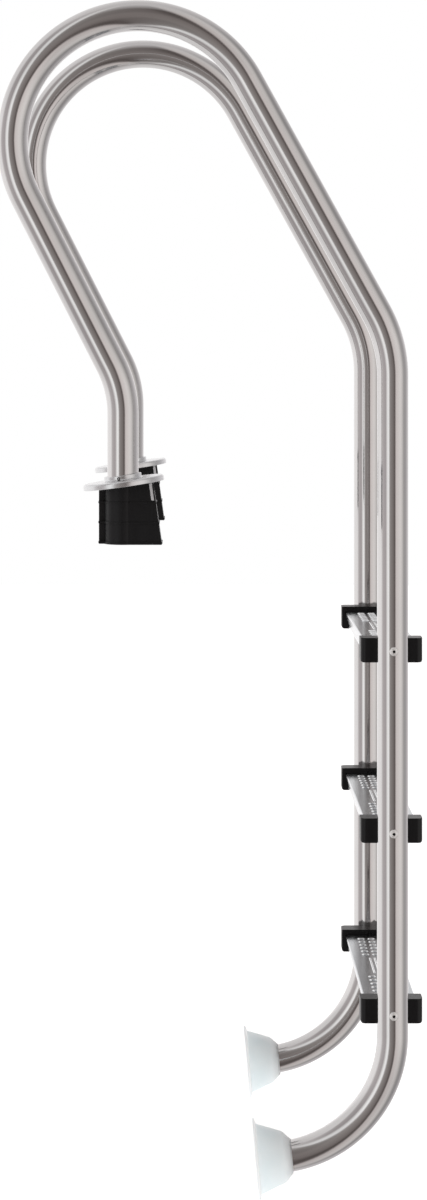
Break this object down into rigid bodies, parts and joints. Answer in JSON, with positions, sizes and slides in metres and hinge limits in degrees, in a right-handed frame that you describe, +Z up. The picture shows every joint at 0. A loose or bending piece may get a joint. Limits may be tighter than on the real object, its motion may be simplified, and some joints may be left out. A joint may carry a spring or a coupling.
{
  "type": "pool ladder",
  "caption": "Stainless pool ladder with two bent handrails, ribbed treads in plastic end caps, wall feet, and deck sockets with wedge clamps under cover flanges.",
  "frame": {"origin": "on the deck surface, midway between the two socket axes", "axes": "+X from the deck out over the water, +Y towards the right-hand rail, +Z up; the ladder is symmetrical about the XZ plane"},
  "size_m": [0.5888, 0.612, 1.6532],
  "materials": {
    "rail_tube": "polished stainless steel tube",
    "tread_sheet": "satin stainless sheet with pressed ribs",
    "cap_plastic": "moulded, fine texture",
    "fastener_steel": "bright stainless",
    "foot_rubber": "translucent, satin",
    "anchor_plastic": "moulded, satin",
    "flange_steel": "bright pressed stainless sheet",
    "wedge_metal": "cast stainless, satin"
  },
  "bodies": {
    "deck": {"deck_anchor_left": "anchor_plastic", "deck_anchor_right": "anchor_plastic", "clamp_plate_left": "fastener_steel", "clamp_plate_right": "fastener_steel", "clamp_washer_left": "fastener_steel", "clamp_washer_right": "fastener_steel"},
    "ladder": {"rail_left": "rail_tube", "rail_right": "rail_tube", "tread_top": "tread_sheet", "tread_middle": "tread_sheet", "tread_bottom": "tread_sheet", "tread_cap_top_left": "cap_plastic", "tread_cap_top_right": "cap_plastic", "tread_cap_middle_left": "cap_plastic", "tread_cap_middle_right": "cap_plastic", "tread_cap_bottom_left": "cap_plastic", "tread_cap_bottom_right": "cap_plastic", "tread_bolts": "fastener_steel", "tread_washers": "fastener_steel", "tread_nuts": "fastener_steel", "wall_foot_left": "foot_rubber", "wall_foot_right": "foot_rubber"},
    "flange_left": {"cover_flange_left": "flange_steel", "flange_screw_left": "fastener_steel"},
    "bolt_left": {"clamp_bolt_left": "fastener_steel"},
    "wedge_left": {"clamp_wedge_left": "wedge_metal"},
    "flange_right": {"cover_flange_right": "flange_steel", "flange_screw_right": "fastener_steel"},
    "bolt_right": {"clamp_bolt_right": "fastener_steel"},
    "wedge_right": {"clamp_wedge_right": "wedge_metal"}
  },
  "joints": [
    {"name": "ladder_lift", "type": "slide", "parent": "deck", "child": "ladder", "axis": [0, 0, 1], "range_m": [0, 0.085]},
    {"name": "flange_left_slide", "type": "slide", "parent": "ladder", "child": "flange_left", "axis": [0, 0, 1], "range_m": [0, 0.078]},
    {"name": "bolt_left_turn", "type": "hinge", "parent": "deck", "child": "bolt_left", "pos_m": [0.0325, -0.25, 0], "axis": [0, 0, 1], "range_deg": [0, 1728]},
    {"name": "wedge_left_rise", "type": "slide", "parent": "deck", "child": "wedge_left", "axis": [0, 0, 1], "range_m": [0, 0.006]},
    {"name": "flange_right_slide", "type": "slide", "parent": "ladder", "child": "flange_right", "axis": [0, 0, 1], "range_m": [0, 0.078]},
    {"name": "bolt_right_turn", "type": "hinge", "parent": "deck", "child": "bolt_right", "pos_m": [0.0325, 0.25, 0], "axis": [0, 0, 1], "range_deg": [0, 1728]},
    {"name": "wedge_right_rise", "type": "slide", "parent": "deck", "child": "wedge_right", "axis": [0, 0, 1], "range_m": [0, 0.006]}
  ],
  "couplings": [
    {"joint": "bolt_left_turn", "follows": "wedge_left_rise", "rad_per_m": 5026.5},
    {"joint": "bolt_right_turn", "follows": "wedge_right_rise", "rad_per_m": 5026.5}
  ]
}
